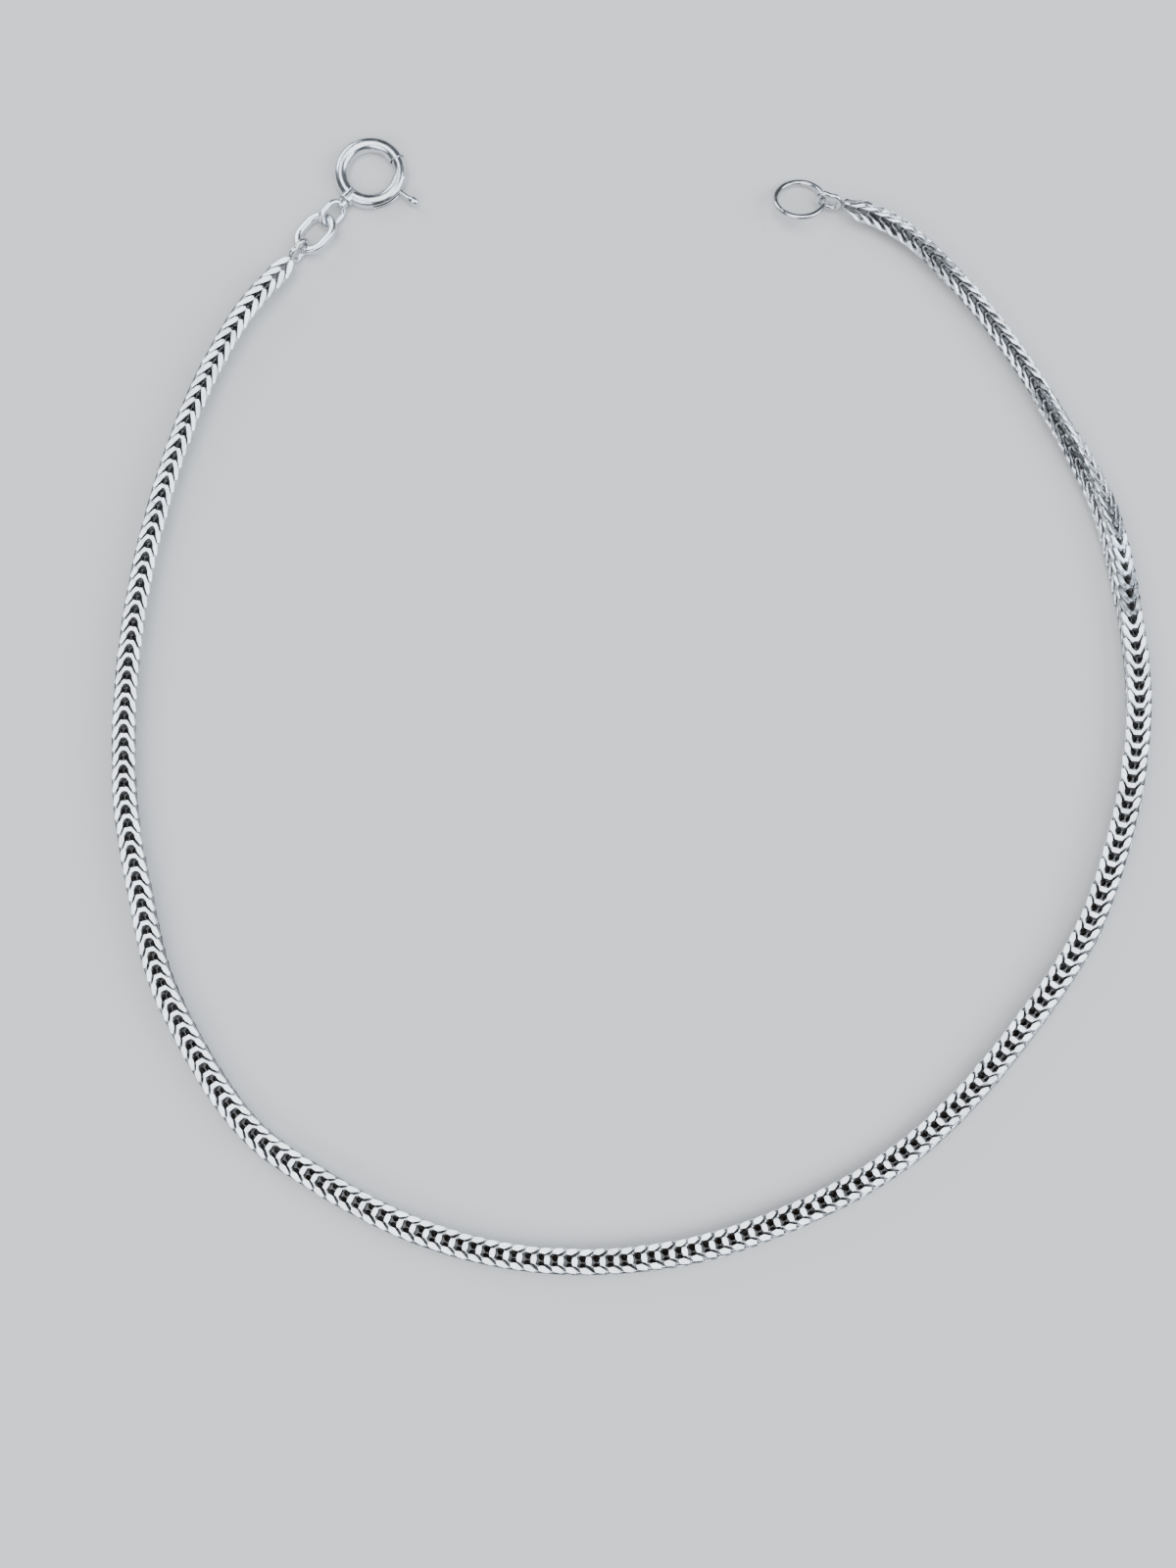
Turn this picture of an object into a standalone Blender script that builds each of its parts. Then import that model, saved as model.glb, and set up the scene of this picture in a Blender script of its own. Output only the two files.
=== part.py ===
"""Foxtail chain bracelet in silver, unfastened and laid out in an open loop on a flat surface.

Seen from above with +Y away from the viewer: the bolt ring clasp is at the top left, the plain catch
ring at the top right, and the chain runs from one to the other round the bottom. Metres, +Z up, with the
origin under the middle of the whole piece, on the surface it lies on.
"""

import math

import bmesh
import bpy
from mathutils import Matrix, Vector

MM = 0.001

# Chain: the foxtail's own section, and the way it lies, in millimetres on the surface, clasp end first
CHAIN_ACROSS = 1.8 * MM
CHAIN_SIDES = 8
POINT_EVERY = 2.0 * CHAIN_ACROSS
ROUTE = [
    (-20.9, 36.7), (-24.4, 32.3), (-27.5, 26.0), (-30.0, 17.7), (-31.4, 8.8), (-31.5, -0.1),
    (-30.3, -7.3), (-28.3, -14.3), (-23.4, -22.3), (-18.0, -26.5), (-11.0, -30.0), (-3.9, -31.7),
    (3.5, -31.7), (10.7, -30.1), (19.1, -26.2), (25.5, -20.9), (31.9, -12.9), (34.9, -7.1),
    (37.1, 0.9), (37.5, 8.7), (35.8, 18.4), (32.2, 25.9), (28.1, 32.4), (23.8, 37.4), (20.9, 39.6), (17.9, 40.8),
]

# Clearances: metal that hooks into metal, and the chain's cut face to its end link
LINK_PLAY = 0.06 * MM
SEAT_GAP = 0.1 * MM

# End links: plain soldered ovals, one at each end of the chain, each square to the ring it holds
END_LINK_WIRE = 0.4 * MM
END_LINK_LONG = 2.0 * MM
END_LINK_WIDE = 1.5 * MM

# Jump ring between the chain and the clasp, an oval that leans
JUMP_WIRE = 0.55 * MM
JUMP_LONG = 3.4 * MM
JUMP_WIDE = 2.7 * MM
JUMP_TILT = -20.0

# Bolt ring: a hollow round ring with a gap, its collar and the eye soldered to it
CLASP_LINE = 49.5
RING_OUTER = 5.2 * MM
RING_TUBE = 1.05 * MM
RING_WALL = 0.11 * MM
GAP_TOP = 28.0
GAP_FOOT = -10.0
COLLAR_ACROSS = 0.85 * MM
EYE_WIRE = 0.45 * MM
EYE_LONG = 2.3 * MM
EYE_WIDE = 1.75 * MM
EYE_TILT = 45.0
EYE_CLEAR_OF_RING = 0.3 * MM

# Bolt: a bent rod that slides round inside the tube, with its thumb lever
BOLT_PLAY = 0.05 * MM
BOLT_ENTERS = 8.0
BOLT_TAIL = 12.0
LEVER_AT = -34.0
LEVER_STEM = 0.36 * MM
LEVER_REACH = 1.05 * MM
KNOB_ACROSS = 0.85 * MM
KNOB_FLAT = 0.75
OPENS_BY = 46.0
SLOT_PLAY = 0.08 * MM

# Catch ring at the free end, a round ring with its near side raised on the last link
CATCH_LINK_LINE = 165.0
CATCH_LINE = 181.0
CATCH_WIRE = 0.45 * MM
CATCH_OUTER = 3.85 * MM
CATCH_TILT = 25.0

# How finely round metal is cut into facets
RING_STEPS = 40
WIRE_SIDES = 12
TUBE_SIDES = 16
ARC_STEP = 6.0

SILVER = (0.86, 0.87, 0.88, 1.0)


def clear_scene():
    for thing in list(bpy.data.objects):
        bpy.data.objects.remove(thing, do_unlink=True)


def new_collection(name, hidden=False):
    group = bpy.data.collections.new(name)
    bpy.context.scene.collection.children.link(group)
    group.hide_render = hidden
    return group


def silver(name, roughness):
    material = bpy.data.materials.new(name)
    material.use_nodes = True
    shader = material.node_tree.nodes["Principled BSDF"]
    shader.inputs["Base Color"].default_value = SILVER
    shader.inputs["Metallic"].default_value = 1.0
    shader.inputs["Roughness"].default_value = roughness
    return material


def link_mesh(name, mesh, group, material):
    thing = bpy.data.objects.new(name, mesh)
    group.objects.link(thing)
    mesh.materials.clear()
    mesh.materials.append(material)
    mesh.shade_smooth()
    mesh.set_sharp_from_angle(angle=math.radians(40))
    return thing


def bevelled_curve(name, points, across, sides, closed, turn=0.0):
    """A round wire along the points, as a curve object that isn't in any collection yet."""
    data = bpy.data.curves.new(name, "CURVE")
    data.dimensions = "3D"
    data.twist_mode = "Z_UP"
    data.bevel_depth = across / 2
    data.bevel_resolution = (sides - 4) // 2
    data.use_fill_caps = True
    spline = data.splines.new("POLY")
    spline.points.add(len(points) - 1)
    for place, point in zip(spline.points, points):
        place.co = (*point, 1.0)
        place.tilt = math.radians(turn)
    spline.use_cyclic_u = closed
    return bpy.data.objects.new(name, data)


def meshed(curve_object, group, material):
    """The curve made a mesh, with the loose caps welded on."""
    group.objects.link(curve_object)
    graph = bpy.context.evaluated_depsgraph_get()
    mesh = bpy.data.meshes.new_from_object(curve_object.evaluated_get(graph))
    name = curve_object.name
    bpy.data.objects.remove(curve_object, do_unlink=True)
    shape = bmesh.new()
    shape.from_mesh(mesh)
    bmesh.ops.remove_doubles(shape, verts=shape.verts, dist=1e-7)
    bmesh.ops.recalc_face_normals(shape, faces=shape.faces)
    shape.to_mesh(mesh)
    shape.free()
    return link_mesh(name, mesh, group, material)


def boolean(thing, other, operation):
    cut = thing.modifiers.new(f"{operation} {other.name}", "BOOLEAN")
    cut.operation = operation
    cut.object = other
    cut.solver = "EXACT"


def as_helper(thing):
    thing.hide_render = True
    thing.display_type = "WIRE"


def heading(degrees):
    return Vector((math.cos(math.radians(degrees)), math.sin(math.radians(degrees)), 0.0))


def smooth_route(points, step):
    """Points a fixed step apart on the smooth curve through the route's own points."""
    knots = [Vector((x * MM, y * MM, 0.0)) for x, y in points]
    before = knots[0] * 2 - knots[1]
    after = knots[-1] * 2 - knots[-2]
    knots = [before, *knots, after]
    fine = []
    for a, b, c, d in zip(knots, knots[1:], knots[2:], knots[3:]):
        for part in range(24):
            t = part / 24
            bend = (b * 2) + (c - a) * t
            bend += (a * 2 - b * 5 + c * 4 - d) * t**2
            bend += (b * 3 - a - c * 3 + d) * t**3
            fine.append(bend / 2)
    fine.append(knots[-2])
    walked = [0.0]
    for a, b in zip(fine, fine[1:]):
        walked.append(walked[-1] + (b - a).length)
    count = round(walked[-1] / step)
    places = []
    at = 0
    for number in range(count + 1):
        target = walked[-1] * number / count
        while at < len(fine) - 2 and walked[at + 1] < target:
            at += 1
        share = (target - walked[at]) / (walked[at + 1] - walked[at])
        places.append(fine[at].lerp(fine[at + 1], min(share, 1.0)))
    return places


def oval(centre, along, tilt, length, width, wire):
    """Centre line of an oval ring, straight sides between two half circles, turned by tilt about its length."""
    along = along.normalized()
    level = Vector((0, 0, 1)).cross(along).normalized()
    across = Matrix.Rotation(math.radians(tilt), 3, along) @ level
    radius = (width - wire) / 2
    straight_half = (length - width) / 2
    points = []
    for number in range(RING_STEPS):
        turn = math.tau * (number + 0.5) / RING_STEPS
        end = math.copysign(straight_half, math.cos(turn))
        points.append(centre + along * (end + radius * math.cos(turn)) + across * radius * math.sin(turn))
    return points


def resting_height(tilt, width, wire):
    """How high the middle of a leaning oval lies when its lower side touches the surface."""
    return (width - wire) / 2 * abs(math.sin(math.radians(tilt))) + wire / 2


def arc(centre, radius, start, end):
    """Points round a level circle, from one angle to another in degrees."""
    count = max(2, round(abs(end - start) / ARC_STEP))
    return [centre + heading(start + (end - start) * n / count) * radius for n in range(count + 1)]


def make_chain(group, material):
    """The chain's outer body: a tube with a flat facet underneath, down the middle of the links."""
    facet = 180.0 / CHAIN_SIDES
    height = CHAIN_ACROSS / 2 * math.cos(math.radians(facet))
    route = [place + Vector((0, 0, height)) for place in smooth_route(ROUTE, POINT_EVERY)]
    chain = bevelled_curve("chain", route, CHAIN_ACROSS, CHAIN_SIDES, False, facet)
    chain.data.materials.append(material)
    group.objects.link(chain)
    return route


def make_oval(name, centre, along, tilt, length, width, wire, group, material):
    points = oval(centre, along, tilt, length, width, wire)
    return meshed(bevelled_curve(name, points, wire, WIRE_SIDES, True), group, material)


def hooked(reach, near_wire, far_wire):
    """Where the next ring's near centre line lies when it hooks over one that ends at reach."""
    return reach - near_wire / 2 - far_wire / 2 - LINK_PLAY


def make_clasp_end(route, group, cutters, material):
    """End link, jump ring, bolt ring and bolt, one after another along the clasp's own line."""
    line = heading(CLASP_LINE)
    chain_end = Vector((route[0].x, route[0].y, 0.0))

    link_middle = SEAT_GAP + END_LINK_LONG / 2
    link_reach = link_middle + (END_LINK_LONG - END_LINK_WIRE) / 2
    link_tilt = JUMP_TILT + 90
    link_height = resting_height(link_tilt, END_LINK_WIDE, END_LINK_WIRE)
    centre = chain_end + line * link_middle + Vector((0, 0, link_height))
    make_oval("clasp_end_link", centre, line, link_tilt,
              END_LINK_LONG, END_LINK_WIDE, END_LINK_WIRE, group, material)

    jump_near = hooked(link_reach, END_LINK_WIRE, JUMP_WIRE)
    jump_middle = jump_near + (JUMP_LONG - JUMP_WIRE) / 2
    jump_reach = jump_near + JUMP_LONG - JUMP_WIRE
    jump_height = resting_height(JUMP_TILT, JUMP_WIDE, JUMP_WIRE)
    centre = chain_end + line * jump_middle + Vector((0, 0, jump_height))
    make_oval("clasp_jump_ring", centre, line, JUMP_TILT,
              JUMP_LONG, JUMP_WIDE, JUMP_WIRE, group, material)

    eye_near = hooked(jump_reach, JUMP_WIRE, EYE_WIRE)
    eye_middle = eye_near + (EYE_LONG - EYE_WIRE) / 2
    eye_height = resting_height(EYE_TILT, EYE_WIDE, EYE_WIRE)
    eye_centre = chain_end + line * eye_middle + Vector((0, 0, eye_height))
    ring_middle = eye_middle + EYE_LONG / 2 + EYE_CLEAR_OF_RING + RING_OUTER / 2
    ring_centre = chain_end + line * ring_middle + Vector((0, 0, RING_TUBE / 2))
    make_bolt_ring(ring_centre, eye_centre, group, cutters, material)
    make_bolt(ring_centre, group, material)


def make_bolt_ring(centre, eye_centre, group, cutters, material):
    """The hollow ring with its gap, bored and slotted, and the collar and eye soldered on."""
    radius = (RING_OUTER - RING_TUBE) / 2
    bore = RING_TUBE - 2 * RING_WALL
    path = arc(centre, radius, GAP_TOP, GAP_FOOT + 360)
    ring = meshed(bevelled_curve("clasp_ring", path, RING_TUBE, TUBE_SIDES, False), group, material)

    back = heading(CLASP_LINE + 180)
    foot = centre + back * (radius - RING_TUBE / 4)
    top = eye_centre - back * (EYE_LONG - 2 * EYE_WIRE) / 2
    neck = bevelled_curve("collar", [foot, top], COLLAR_ACROSS, WIRE_SIDES, False)
    neck = meshed(neck, cutters, material)
    eye = make_oval("eye", eye_centre, -back, EYE_TILT, EYE_LONG, EYE_WIDE, EYE_WIRE, cutters, material)

    over = 3.0
    inside = arc(centre, radius, GAP_TOP - over, GAP_FOOT + 360 + over)
    bored = meshed(bevelled_curve("bore", inside, bore, TUBE_SIDES, False), cutters, material)

    slot_end = LEVER_AT - OPENS_BY
    spread = math.degrees((LEVER_STEM / 2 + SLOT_PLAY) / (RING_OUTER / 2))
    slot_path = arc(centre, RING_OUTER / 2, LEVER_AT + spread, slot_end - spread)
    slot = bevelled_curve("slot", slot_path, LEVER_STEM + 2 * SLOT_PLAY, WIRE_SIDES, False)
    slot = meshed(slot, cutters, material)

    for piece, operation in ((neck, "UNION"), (eye, "UNION"), (bored, "DIFFERENCE"), (slot, "DIFFERENCE")):
        boolean(ring, piece, operation)
        as_helper(piece)


def make_bolt(centre, group, material):
    """The bolt with its lever, turning about the ring's own middle."""
    radius = (RING_OUTER - RING_TUBE) / 2
    across = RING_TUBE - 2 * RING_WALL - 2 * BOLT_PLAY
    path = arc(Vector((0, 0, 0)), radius, LEVER_AT - BOLT_TAIL, GAP_TOP + BOLT_ENTERS)
    bolt = meshed(bevelled_curve("clasp_bolt", path, across, TUBE_SIDES, False), group, material)

    out = heading(LEVER_AT)
    knob_at = out * (RING_OUTER / 2 + LEVER_REACH)
    stem = bevelled_curve("stem", [out * radius, knob_at], LEVER_STEM, WIRE_SIDES, False)
    stem = meshed(stem, group, material)
    ball = bpy.data.meshes.new("knob")
    shape = bmesh.new()
    turn = Matrix.Translation(knob_at) @ Matrix.Rotation(math.radians(LEVER_AT), 4, "Z")
    squeeze = Matrix.Diagonal((1.0, KNOB_FLAT, KNOB_FLAT, 1.0))
    bmesh.ops.create_uvsphere(
        shape, u_segments=WIRE_SIDES, v_segments=WIRE_SIDES // 2, radius=KNOB_ACROSS / 2, matrix=turn @ squeeze
    )
    shape.to_mesh(ball)
    shape.free()
    knob = link_mesh("knob", ball, group, material)
    for piece in (stem, knob):
        boolean(bolt, piece, "UNION")
        as_helper(piece)
        piece.parent = bolt
    bolt.location = centre


def make_catch_end(route, group, material):
    """The catch ring and the end link that holds it, raised because the ring leans."""
    last = route[-1]
    ring_height = resting_height(CATCH_TILT, CATCH_OUTER, CATCH_WIRE)
    link_far_side = SEAT_GAP + END_LINK_LONG - END_LINK_WIRE / 2
    from_end = hooked(link_far_side, END_LINK_WIRE, CATCH_WIRE)
    rise = ring_height - last.z
    level = math.sqrt(from_end**2 - rise**2)
    held = last + heading(CATCH_LINK_LINE) * level + Vector((0, 0, rise))
    slope = (held - last).normalized()
    centre = last + slope * (SEAT_GAP + END_LINK_LONG / 2)
    make_oval("catch_end_link", centre, slope, CATCH_TILT + 90,
              END_LINK_LONG, END_LINK_WIDE, END_LINK_WIRE, group, material)
    middle = held + heading(CATCH_LINE) * (CATCH_OUTER - CATCH_WIRE) / 2
    make_oval("catch_ring", middle, heading(CATCH_LINE), CATCH_TILT,
              CATCH_OUTER, CATCH_OUTER, CATCH_WIRE, group, material)


def stand_on_origin(group):
    """Moves everything so that the origin is on the surface, under the middle of the whole piece."""
    bpy.context.view_layer.update()
    graph = bpy.context.evaluated_depsgraph_get()
    places = []
    for thing in group.objects:
        if not thing.hide_render:
            whole = thing.evaluated_get(graph)
            places += [whole.matrix_world @ corner.co for corner in whole.to_mesh().vertices]
            whole.to_mesh_clear()
    low = Vector(map(min, zip(*places)))
    high = Vector(map(max, zip(*places)))
    shift = Vector(((low.x + high.x) / 2, (low.y + high.y) / 2, low.z))
    for thing in bpy.data.objects:
        if thing.parent is None:
            thing.location -= shift


def main():
    clear_scene()
    jewel = new_collection("foxtail_chain_bracelet")
    cutters = new_collection("cutters", hidden=True)
    polished = silver("polished silver", 0.12)
    drawn = silver("drawn silver", 0.2)
    route = make_chain(jewel, drawn)
    make_clasp_end(route, jewel, cutters, polished)
    make_catch_end(route, jewel, polished)
    stand_on_origin(jewel)


main()
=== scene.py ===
"""The looks of the foxtail chain bracelet: interlocked silver links, end links, jump ring and bolt ring."""

import math

import bpy
import numpy as np
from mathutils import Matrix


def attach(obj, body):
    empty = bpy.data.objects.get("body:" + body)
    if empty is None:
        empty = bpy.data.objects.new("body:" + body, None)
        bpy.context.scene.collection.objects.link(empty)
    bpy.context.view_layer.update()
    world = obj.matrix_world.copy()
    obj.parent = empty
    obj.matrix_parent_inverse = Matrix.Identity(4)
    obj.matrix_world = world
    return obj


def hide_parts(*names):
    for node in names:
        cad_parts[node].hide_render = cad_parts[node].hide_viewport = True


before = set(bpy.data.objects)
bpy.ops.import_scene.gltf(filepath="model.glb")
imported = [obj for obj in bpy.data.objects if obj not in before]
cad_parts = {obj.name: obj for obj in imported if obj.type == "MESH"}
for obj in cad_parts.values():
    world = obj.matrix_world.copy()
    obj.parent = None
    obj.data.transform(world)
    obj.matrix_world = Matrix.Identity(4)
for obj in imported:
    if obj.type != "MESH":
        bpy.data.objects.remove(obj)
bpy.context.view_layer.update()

MM = 0.001

# The line of the chain in millimetres, clasp end first, seen from above with zero at the picture's middle
ROUTE = [
    (-20.9, 36.7), (-24.4, 32.3), (-27.5, 26.0), (-30.0, 17.7), (-31.4, 8.8), (-31.5, -0.1),
    (-30.3, -7.3), (-28.3, -14.3), (-23.4, -22.3), (-18.0, -26.5), (-11.0, -30.0), (-3.9, -31.7),
    (3.5, -31.7), (10.7, -30.1), (19.1, -26.2), (25.5, -20.9), (31.9, -12.9), (34.9, -7.1),
    (37.1, 0.9), (37.5, 8.7), (35.8, 18.4), (32.2, 25.9), (28.1, 32.4), (23.8, 37.4), (20.9, 39.6),
    (17.9, 40.8),
]

# Where the part's own origin lies on that picture, in millimetres
ORIGIN = np.array([2.9729, 6.5649])

# One quarter of a link, in millimetres: u along the chain, v across it, w out of its ladder face, and the
# half width of the wire there, which the wearing of the chain has spread at its outer bends
LINK_QUARTER = [
    (0.00, 0.00, 0.715, 0.200),
    (0.00, 0.13, 0.71, 0.195),
    (0.04, 0.23, 0.63, 0.165),
    (0.13, 0.32, 0.58, 0.145),
    (0.24, 0.40, 0.58, 0.14),
    (0.38, 0.49, 0.61, 0.145),
    (0.50, 0.57, 0.705, 0.175),
    (0.66, 0.585, 0.72, 0.20),
    (0.84, 0.635, 0.69, 0.17),
    (1.00, 0.69, 0.65, 0.155),
    (1.12, 0.72, 0.60, 0.155),
    (1.28, 0.72, 0.46, 0.155),
    (1.52, 0.705, 0.35, 0.15),
    (1.80, 0.69, 0.26, 0.145),
    (2.06, 0.66, 0.19, 0.145),
    (2.25, 0.52, 0.24, 0.16),
    (2.36, 0.27, 0.10, 0.24),
    (2.37, 0.26, 0.00, 0.24),
]
# The first places of that quarter where the chain lies pushed together: v, w and half width
PACKED_QUARTER = [
    (0.00, 0.54, 0.20),
    (0.12, 0.56, 0.225),
    (0.19, 0.565, 0.25),
    (0.25, 0.57, 0.265),
    (0.31, 0.57, 0.27),
    (0.39, 0.575, 0.265),
    (0.47, 0.58, 0.255),
    (0.53, 0.585, 0.235),
    (0.61, 0.59, 0.20),
]

# The chain's half height and half width, where its links are worn flat, and the length of link and step
FACE_HALF = 0.76
FLANK_HALF = 0.83
LINK_PITCH = 0.92
LINK_REACH = 2.35

# Points round a link's wire, how much closer they stand where |w| is over a height, and the points of a span
LINK_SAMPLES = 52
CLOSER_ABOVE = 0.5
CLOSER_BY = 2.6
SPAN_POINTS = 12
ROUTE_POINTS = 24

# The narrowest flat in degrees, and where the ears turn to close over the next links, and how sharply
CREST = 4.0
EAR_TURNS_AT = 2.0
EAR_TURN = 4.0
FACE_TURN = 6.0

# The play between links: chance roll in degrees, and chance slide in millimetres
LINK_ROLLS = 1.3
LINK_SLIDES = 0.012

# Tarnish with painted shade in the chain's hollows and on its unworn sides: the depths in millimetres where
# it starts and is full, how much the unworn sides have, and how much less of it packed links have
TARNISH_AND_SHADE_FROM = 0.05
TARNISH_AND_SHADE_FULL = 0.26
TARNISH_AND_SHADE_SIDES = 0.42
PACKED_KEEPS_BRIGHT = 0.45

# How square the wires' sections are, as the power of their curve, where 2 is round
JUMP_SQUARE = 3.2
EYE_SQUARE = 2.8
CATCH_SQUARE = 2.2

# Points that an oval is first drawn with, and how steeply its straight sides turn into its half circles
OVAL_POINTS = 721
OVAL_STEEP = 60

# End links, jump ring and catch ring, in millimetres: ovals with straight sides between two half circles
LINK_PLAY = 0.06
SEAT_GAP = 0.1
END_LINK_WIRE = 0.4
END_LINK_LONG = 2.0
END_LINK_WIDE = 1.5
END_LINK_PINCH = 0.12
END_LINK_PINCH_LONG = 0.3
JUMP_WIRE = 0.55
JUMP_LONG = 3.4
JUMP_WIDE = 2.7
JUMP_TILT = -20.0
JUMP_CUT_AT = 200.0
JUMP_CUT = 0.03
CHAIN_END_HEIGHT = 0.831
CATCH_LINK_LINE = 165.0
CATCH_LINE = 181.0
CATCH_WIRE = 0.45
CATCH_OUTER = 3.85
CATCH_TILT = 25.0
CATCH_CUT_AT = 40.0
CATCH_CUT = 0.05

# Bolt ring: hollow tube open between two mouths, with a collar and an eye, and the bolt inside it
CLASP_LINE = 49.5
RING_OUTER = 5.2
RING_TUBE = 1.05
RING_WALL = 0.08
MOUTH_TOP = 28.0
MOUTH_FOOT = -10.0
MOUTH_LIP = 0.035
MOUTH_LIP_AT = 0.9
RIM_SOFT = 0.02
FERRULE_FROM = 1.85
FERRULE_TO = 3.42
FERRULE_GROOVE = 2.78
FERRULE_GROOVE_DEEP = 0.07
FERRULE_GROOVE_HALF = 0.05
FERRULE_STEP_STEEP = 45.0
FERRULE_TIP = 0.22
FERRULE_WIDE = 1.05
FERRULE_NARROW = 0.78
EYE_WIRE = 0.45
EYE_LONG = 2.3
EYE_WIDE = 1.75
EYE_TILT = 45.0
EYE_CLEAR_OF_RING = 0.3
BOLT_ACROSS = 0.82
BOLT_ENTERS = 8.0
BOLT_TAIL = 12.0
BOLT_TIP_NARROWS = 0.6
LEVER_AT = -34.0
LEVER_STEM = 0.36
LEVER_REACH = 1.05
KNOB_ACROSS = 0.85
KNOB_FLAT = 0.75
OPENS_BY = 46.0
SLOT_HALF = 0.26

# How far the links are pushed together, from 0 to 1, at places along the chain from the clasp, in shares
PACKED_AT = [0.0, 0.06, 0.12, 0.30, 0.38, 0.44, 0.58, 0.68, 0.76, 0.82, 1.0]
PACKED_BY = [1.0, 0.9, 0.55, 0.35, 0.1, 0.0, 0.0, 0.15, 0.3, 0.7, 0.8]

# How far the chain is rolled about its own line, in degrees, at places along it from the clasp, in shares
ROLL_AT = [0.0, 0.06, 0.12, 0.20, 0.26, 0.33, 0.40, 0.49, 0.58, 0.66, 0.76, 0.80, 0.83, 0.86, 0.90, 0.94, 1.0]
ROLL_BY = [-19, -16, -13, -9, -4, -4, -7, -11, -14, -14, -14, -4, 19, 44, 73, 70, 50]

# How wide and how deep the chain is, as shares of its full size, at places along it from the clasp
WIDE_AT = [0.0, 0.06, 0.12, 0.20, 0.40, 0.77, 0.83, 1.0]
WIDE_BY = [0.86, 0.86, 0.90, 0.94, 1.0, 1.0, 0.86, 0.86]
DEEP_BY = [1.0, 1.0, 1.0, 1.0, 1.0, 1.0, 0.86, 0.86]

# Marks on the silver, in millimetres: patches of film, spots of grime and of handling, hairline scratches
# and how many times narrower than long they are, and how deep the dents and scratches go
FILM_PATCH = 1.92
GRIME_SPOT = 0.286
HANDLING_SPOT = 0.417
HAIRLINE_LONG = 0.625
HAIRLINE_NARROWER = 28.0
DENT_DEEP = 0.01
SCRATCH_DEEP = 0.0015

# Handling marks make the polish rougher by this much, on the chain and the rings alike
HANDLING = 0.16

# Camera: millimetres on the picture and above it, and its tilt from straight down in degrees
CAMERA_AT = (0.0, -14.63, 140.03)
PICTURE_TILT = 6.0

# Floor: metres from its middle to its edge
FLOOR_HALF = 1.0


def linear(hex_colour):
    """An sRGB hex colour as linear RGBA."""
    parts = np.array([int(hex_colour[i : i + 2], 16) / 255 for i in (1, 3, 5)])
    parts = np.where(parts <= 0.04045, parts / 12.92, ((parts + 0.055) / 1.055) ** 2.4)
    return (*parts.tolist(), 1.0)


def new_mesh(name, points, *faces, smooth=True):
    """A mesh object at the origin from an array of points in metres and arrays of quads or triangles."""
    mesh = bpy.data.meshes.new(name)
    mesh.from_pydata(points.tolist(), [], [face for group in faces for face in group.tolist()])
    mesh.update()
    if smooth:
        mesh.shade_smooth()
    thing = bpy.data.objects.new(name, mesh)
    bpy.context.scene.collection.objects.link(thing)
    return thing


def smooth_path(knots, steps, closed):
    """Cardinal spline: each span is the cubic with half the chord of its neighbours as end slopes."""
    knots = np.asarray(knots, float)
    if closed:
        knots = np.vstack([knots[-1:], knots, knots[:2]])
    else:
        knots = np.vstack([2 * knots[0] - knots[1], knots, 2 * knots[-1] - knots[-2]])
    a, b, c, d = knots[:-3, None], knots[1:-2, None], knots[2:-1, None], knots[3:, None]
    t = (np.arange(steps) / steps)[None, :, None]
    curve = 0.5 * (2 * b + (c - a) * t + (2 * a - 5 * b + 4 * c - d) * t**2 + (3 * b - a - 3 * c + d) * t**3)
    curve = curve.reshape(-1, knots.shape[1])
    return curve if closed else np.vstack([curve, knots[-2]])


def at_lengths(path, lengths):
    """Points of a path at the given distances from its start."""
    walked = np.concatenate([[0], np.cumsum(np.linalg.norm(np.diff(path, axis=0), axis=1))])
    return np.stack([np.interp(lengths, walked, path[:, axis]) for axis in range(path.shape[1])], axis=1)


def evenly(path, count, weight):
    """A closed path again with count points, the spacing between them inverse to the weight of each step."""
    path = np.vstack([path, path[:1]])
    steps = np.linalg.norm(np.diff(path, axis=0), axis=1) * weight
    walked = np.concatenate([[0], np.cumsum(steps)])
    places = np.linspace(0, walked[-1], count, endpoint=False)
    return np.stack([np.interp(places, walked, path[:, axis]) for axis in range(path.shape[1])], axis=1)


def directions(path, up, closed):
    """Unit vectors along a path, to its side and up from it: side is along crossed with the given up."""
    if closed:
        along = np.roll(path, -1, axis=0) - np.roll(path, 1, axis=0)
    else:
        along = np.gradient(path, axis=0)
    along /= np.linalg.norm(along, axis=1, keepdims=True)
    side = np.cross(along, up)
    side /= np.linalg.norm(side, axis=1, keepdims=True)
    return along, side, np.cross(side, along)


def carried(path, up, section, closed=False):
    """A section carried along a path: each point is the path's, plus side times x, plus top times y."""
    along, side, top = directions(path, up, closed)
    return path[:, None] + section[..., 0:1] * side[:, None] + section[..., 1:2] * top[:, None]


def squarish(wide, tall, power, sides):
    """A closed section between an ellipse and a rectangle.

    It holds |x / half wide|^power + |y / half tall|^power = 1."""
    turn = (np.arange(sides) + 0.5) * math.tau / sides
    curve = np.column_stack([np.cos(turn), np.sin(turn)])
    curve = np.sign(curve) * np.abs(curve) ** (2 / power)
    return curve * (wide / 2, tall / 2)


def rounded_ends(length, soft, depth, rows, steps=7):
    """Distances along a rod and its width there as shares: each end narrows by depth, over soft, as a quarter
    of an ellipse."""
    turn = np.linspace(0, math.pi / 2, steps)
    near = soft * (1 - np.cos(turn))
    share = 1 - depth * (1 - np.sin(turn))
    middle = np.linspace(soft, length - soft, rows)[1:-1]
    distance = np.concatenate([near, middle, length - near[::-1]])
    width = np.concatenate([share, np.ones(len(middle)), share[::-1]])
    return distance, width


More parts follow.
